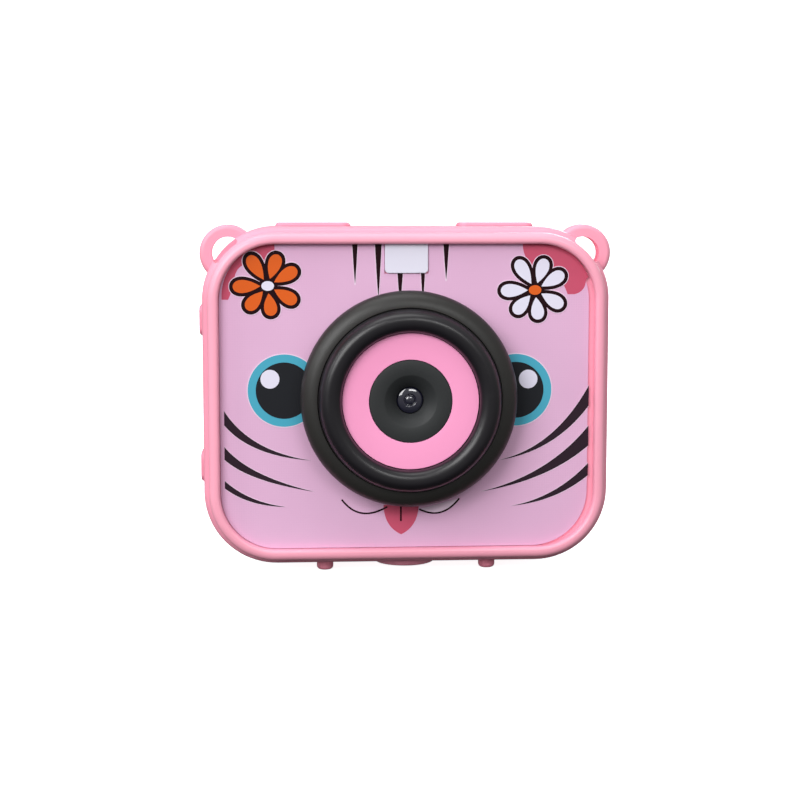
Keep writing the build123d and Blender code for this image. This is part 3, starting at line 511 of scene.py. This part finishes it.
def clipped(outline):
    """Part of an outline inside the panel: each edge line of the panel in turn keeps the points on
    its inner side, and adds the crossing point wherever the outline passes through it."""
    points = np.asarray(outline, float)
    edge = panel_edge()
    for start, end in zip(edge, np.roll(edge, -1, axis=0)):
        along = end - start
        side = along[0] * (points[:, 1] - start[1]) - along[1] * (points[:, 0] - start[0])
        before, side_before = np.roll(points, 1, axis=0), np.roll(side, 1)
        crosses = (side_before < 0) != (side < 0)
        share = np.where(crosses, side_before / np.where(crosses, side_before - side, 1), 0)
        cuts = before + (points - before) * share[:, None]
        kept = np.stack([crosses, side >= 0], axis=1).ravel()
        points = np.stack([cuts, points], axis=1).reshape(-1, 2)[kept]
    return points


def ink(name, outlines, level, material):
    """Thin closed slabs of ink: each outline anticlockwise, once at its level ahead of the panel
    and once just inside it, with a wall of quads between the two."""
    points, faces = [], []
    first = 0
    for outline in outlines:
        ring = clipped(outline)
        ring = ring[np.linalg.norm(ring - np.roll(ring, 1, axis=0), axis=1) > INK_MERGE]
        x, z = ring[:, 0], ring[:, 1]
        if np.sum(x * np.roll(z, -1) - np.roll(x, -1) * z) < 0:
            ring = ring[::-1]
        for depth in (level * INK_STEP, -INK_SUNK):
            y = np.full(len(ring), FACE_Y - depth * MM)
            points.append(np.stack([AXIS_X + ring[:, 0] * MM, y, AXIS_Z + ring[:, 1] * MM], axis=-1))
        front = first + np.arange(len(ring))
        back = front + len(ring)
        wall = np.stack([front, back, np.roll(back, -1), np.roll(front, -1)], axis=-1)
        faces += [front.tolist(), back[::-1].tolist(), *wall.tolist()]
        first += 2 * len(ring)
    mesh = bpy.data.meshes.new(name)
    mesh.from_pydata(np.concatenate(points).tolist(), [], faces)
    mesh.materials.append(material)
    mesh.update()
    piece = bpy.data.objects.new(name, mesh)
    scene.collection.objects.link(piece)
    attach(piece, "root")


def disc(x, z, radius_x, radius_z=None):
    """Ellipse: x + a cos t, z + b sin t."""
    t = np.linspace(0, 2 * np.pi, 72, endpoint=False)
    return np.stack([x + radius_x * np.cos(t), z + (radius_z or radius_x) * np.sin(t)], axis=-1)


def petal(place, angle, start, tip, width):
    """Teardrop: along = start + (tip - start) (1 - cos s) / 2, half width = w sin(s) sin(s / 2)."""
    s = np.linspace(0, 2 * np.pi, 56, endpoint=False)
    along = start + (tip - start) * (1 - np.cos(s)) / 2
    across = width / 2 / 0.77 * np.sin(s) * np.abs(np.sin(s / 2))
    c, d = math.cos(math.radians(angle)), math.sin(math.radians(angle))
    return np.stack([place[0] + along * c - across * d, place[1] + along * d + across * c], axis=-1)


def bend(start, middle, end, steps=28):
    """Quadratic curve through three points, the middle one at half way."""
    start, middle, end = np.array(start), np.array(middle), np.array(end)
    t = np.linspace(0, 1, steps)[:, None]
    handle = 2 * middle - (start + end) / 2
    return (1 - t) ** 2 * start + 2 * t * (1 - t) * handle + t**2 * end


def whisker(x, high, low, middle, tip, half, grow=0.0):
    """Blade between two quadratic curves that share a tip."""
    up, down = np.array([0, half + grow]), np.array([0, -half - grow])
    tip = np.array(tip) + [math.copysign(2.2 * grow, -x), 0]
    upper = bend((x, high + grow), np.array(middle) + up, tip)
    lower = bend((x, low - grow), np.array(middle) + down, tip)
    return np.concatenate([upper, lower[::-1][1:]])


def stripe(x, width, bottom, grow=0.0):
    """Thorn from the panel's top edge down to a point: half width = (w / 2) (1 - t)^0.8."""
    t = np.linspace(0, 1, 20)
    half = (width / 2) * (1 - t) ** 0.8 + grow
    z = PANEL_TOP + 0.4 - t * (PANEL_TOP + 0.4 - bottom + 2 * grow)
    return np.concatenate([
        np.stack([x - half, z], axis=-1), np.stack([x + half, z], axis=-1)[::-1],
    ])


def line(curve, width):
    """Even stroke: the curve moved half a width to each side along its normal."""
    along = np.gradient(curve, axis=0)
    normal = np.stack([-along[:, 1], along[:, 0]], axis=-1)
    normal = normal / np.linalg.norm(normal, axis=1, keepdims=True) * width / 2
    return np.concatenate([curve + normal, (curve - normal)[::-1]])


PETALS = [(122, 8.0), (72, 7.5), (30, 7.65), (-30, 7.5), (-83, 6.9), (-132, 7.2), (181, 7.9)]
LEFT_DAISY = (-28.8, 23.1)
RIGHT_DAISY = (26.4, 22.1)
WHISKERS = [
    (-38.0, -2.6, -5.6, (-30.9, -10.1), (-20.1, -13.1), 0.62),
    (-38.0, -10.1, -12.8, (-30.9, -16.2), (-19.4, -19.7), 0.62),
    (-38.0, -17.2, -18.8, (-32.4, -21.3), (-25.4, -22.8), 0.42),
    (37.9, 2.2, -2.1, (29.6, -9.0), (19.0, -13.4), 0.75),
    (37.9, -6.3, -10.5, (28.1, -15.7), (15.4, -20.0), 0.8),
    (37.9, -14.2, -16.8, (30.5, -20.6), (21.8, -23.1), 0.55),
]
STRIPES = [(-10.9, 1.15, 23.5), (-6.1, 1.4, 20.6), (-1.6, 1.9, 19.0), (3.1, 1.4, 19.0), (7.9, 1.2, 24.3)]
MOUTH = [
    bend((-13.8, -21.4), (-9.6, -24.3), (-4.3, -23.0)), bend((2.4, -23.6), (6.9, -24.3), (10.8, -21.4)),
]


def ear_patches():
    """Inner ears: corner patches bounded by the panel edge and a curved lower side."""
    left = np.concatenate([
        bend((-27.6, 32.5), (-27.7, 29.2), (-30.2, 26.9), 16),
        bend((-32.6, 27.6), (-34.6, 26.8), (-35.6, 24.6), 12),
        bend((-36.0, 22.9), (-36.4, 21.5), (-36.9, 20.3), 8), [(-39.5, 20.3), (-39.5, 33.0)],
    ])
    right = np.concatenate([
        bend((23.8, 32.5), (24.1, 29.6), (25.7, 27.0), 16),
        bend((29.0, 26.4), (31.6, 24.2), (33.2, 21.2), 16),
        bend((34.6, 21.2), (36.4, 22.2), (37.0, 24.2), 10), [(38.5, 26.0), (38.5, 33.0)],
    ])
    return [left, right]


def printed(name, colour, second, rough=0.46, specular=0.25):
    """Ink on the panel's paper grain."""
    return moulded(f"{name} ink", colour, second, rough, 1900, 0.1, 0.04, Specular_IOR_Level=specular)


def print_panel():
    """Every printed shape, from the lowest layer to the highest."""
    crimson = printed("crimson", srgb(203, 84, 112), srgb(196, 78, 106))
    pale = printed("pale", HALO, srgb(231, 205, 224))
    white = printed("white lilac", srgb(228, 225, 241), srgb(223, 219, 238))
    orange = printed("orange", srgb(224, 98, 24), srgb(217, 91, 20))
    teal = printed("teal", TEAL, srgb(70, 163, 189))
    plum = printed("plum", srgb(50, 36, 46), srgb(43, 30, 40), 0.44, 0.1)
    black = printed("black", INK, srgb(28, 7, 14), 0.44, 0.1)
    pupil = printed("pupil", srgb(36, 38, 42), srgb(32, 33, 37), 0.44, 0.1)

    ink("inner_ears", ear_patches(), 1, crimson)
    ink("whisker_halos", [whisker(*w, grow=0.12) for w in WHISKERS], 2, pale)
    ink("whiskers", [whisker(*w) for w in WHISKERS], 3, plum)
    ink("stripe_halos", [stripe(*w, grow=0.14) for w in STRIPES], 2, pale)
    ink("stripes", [stripe(*w) for w in STRIPES], 3, black)
    ink("mouth_fill", [MOUTH[1]], 1, pale)
    ink("mouth_lines", [line(curve, 0.36) for curve in MOUTH], 3, black)
    side = bend((-5.1, -22.6), (-4.1, -26.5), (-1.4, -28.9), 20)
    other = bend((-1.4, -28.9), (1.3, -26.5), (2.3, -22.6), 20)
    ink("tongue", [np.concatenate([side, other[1:]])], 2, crimson)
    ink("tongue_line", [line(bend((-1.45, -22.0), (-1.45, -24.0), (-1.45, -26.1)), 0.36)], 3, black)

    eyes = [((-25.6, 1.5), (-28.5, 3.9)), ((22.5, 1.35), (25.1, 3.6))]
    ink("eye_halos", [disc(*eye, 7.7) for eye, _ in eyes], 4, pale)
    ink("eye_rims", [disc(*eye, 7.5) for eye, _ in eyes], 5, teal)
    ink("eye_pupils", [disc(*eye, 5.85) for eye, _ in eyes], 6, pupil)
    ink("eye_glints", [disc(*glint, 1.95) for _, glint in eyes], 7, white)

    daisies = [("left", LEFT_DAISY, orange, white), ("right", RIGHT_DAISY, white, orange)]
    for side, place, fill, heart in daisies:
        rims = [petal(place, a, 0.2, tip, 4.1) for a, tip in PETALS]
        halos = [petal(place, a, 0.1, tip + 0.13, 4.4) for a, tip in PETALS]
        fills = [petal(place, a, 1.5, tip - 0.75, 2.7) for a, tip in PETALS]
        for k, (halo, rim) in enumerate(zip(halos, rims)):
            ink(f"{side}_daisy_halo_{k}", [halo], 4 + 0.05 * k, pale)
            ink(f"{side}_daisy_rim_{k}", [rim], 5 + 0.05 * k, black)
        ink(f"{side}_daisy_heart_rim", [disc(*place, 1.95, 1.6)], 5.5, black)
        ink(f"{side}_daisy_petals", fills, 6, fill)
        ink(f"{side}_daisy_heart", [disc(*place, 1.3, 1.0)], 6, heart)


print_panel()


# ---- camera, light and floor ----
CAMERA_DISTANCE = 0.36
CAMERA_ELEVATION = math.radians(6.4)
CAMERA_AZIMUTH = math.radians(3.9)
BODY_WIDTH = 84.8 * MM
BODY_WIDTH_IN_FRAME = 0.5008
FRAME_OFFSET = Vector((-0.00115, 0, -0.00141))


def set_camera():
    """Long-lens camera, a little above and to the left of the lens axis."""
    target = Vector((AXIS_X, cover_high.y, AXIS_Z)) + FRAME_OFFSET
    away = Vector((
        -math.sin(CAMERA_AZIMUTH) * math.cos(CAMERA_ELEVATION),
        -math.cos(CAMERA_AZIMUTH) * math.cos(CAMERA_ELEVATION),
        math.sin(CAMERA_ELEVATION),
    ))
    data = bpy.data.cameras.new("camera")
    camera = bpy.data.objects.new("camera", data)
    scene.collection.objects.link(camera)
    camera.location = target + away * CAMERA_DISTANCE
    camera.rotation_euler = (-away).to_track_quat("-Z", "Y").to_euler()
    data.sensor_width = 36
    data.lens = 36 * BODY_WIDTH_IN_FRAME * CAMERA_DISTANCE / BODY_WIDTH
    data.clip_start = 0.01
    scene.camera = camera


def area_light(name, place, size, power, colour=(1, 1, 1)):
    data = bpy.data.lights.new(name, "AREA")
    data.shape = "RECTANGLE"
    data.size, data.size_y = size
    data.energy = power
    data.color = colour
    light = bpy.data.objects.new(name, data)
    scene.collection.objects.link(light)
    light.location = place
    light.rotation_euler = (MIDDLE - Vector(place)).to_track_quat("-Z", "Y").to_euler()


def pale_floor():
    """Wide floor that curves up behind the object into a backdrop."""
    run = np.linspace(0, 1, 48)
    y = np.where(run < 0.6, -2.4 + run * 6, 1.2 + 0.8 * np.sin((run - 0.6) / 0.4 * np.pi / 2))
    z = np.where(run < 0.6, 0, 2.4 * (1 - np.cos((run - 0.6) / 0.4 * np.pi / 2)))
    x = np.array([-3.0, 3.0])
    points = np.stack([
        np.repeat(x, len(y)), np.tile(y, 2), np.tile(z, 2) - 0.0001,
    ], axis=-1)
    mesh = bpy.data.meshes.new("floor")
    mesh.from_pydata(points.tolist(), [], grid_faces(2, len(y)).tolist())
    mesh.polygons.foreach_set("use_smooth", [True] * len(mesh.polygons))
    floor = bpy.data.objects.new("floor", mesh)
    mesh.materials.append(moulded("floor", srgb(250, 249, 249), srgb(248, 247, 247), 0.8, 50, 0.0, 0.0))
    scene.collection.objects.link(floor)
    shader = mesh.materials[0].node_tree.nodes["Principled BSDF"]
    shader.inputs["Emission Color"].default_value = (1, 1, 1, 1)
    shader.inputs["Emission Strength"].default_value = 0.9
    floor.visible_diffuse = False
    floor.visible_glossy = False


def set_world():
    """Even studio light that falls off below the horizon."""
    world = bpy.data.worlds.new("studio")
    scene.world = world
    world.use_nodes = True
    nodes, links = world.node_tree.nodes, world.node_tree.links
    place = nodes.new("ShaderNodeTexCoord")
    split = nodes.new("ShaderNodeSeparateXYZ")
    fall = nodes.new("ShaderNodeMapRange")
    fall.inputs["From Min"].default_value = -0.7
    fall.inputs["From Max"].default_value = 0.9
    fall.inputs["To Min"].default_value = 0.05
    fall.inputs["To Max"].default_value = 0.72
    background = nodes["Background"]
    background.inputs["Color"].default_value = (1, 1, 1, 1)
    links.new(place.outputs["Generated"], split.inputs["Vector"])
    links.new(split.outputs["Z"], fall.inputs["Value"])
    links.new(fall.outputs["Result"], background.inputs["Strength"])


set_camera()
set_world()
pale_floor()
area_light("key softbox", (-0.7, -1.0, 0.62), (0.8, 0.8), 12.4)
area_light("side strip", (-0.95, -0.3, 0.5), (0.15, 0.6), 1.6)
area_light("rear fill", (0.5, 0.95, 0.5), (0.6, 0.6), 8.0)
area_light("overhead softbox", (-0.1, -0.2, 0.9), (0.7, 0.4), 2.4)
area_light("glass glint", (0.13, -0.54, 0.28), (0.24, 0.1), 0.6)
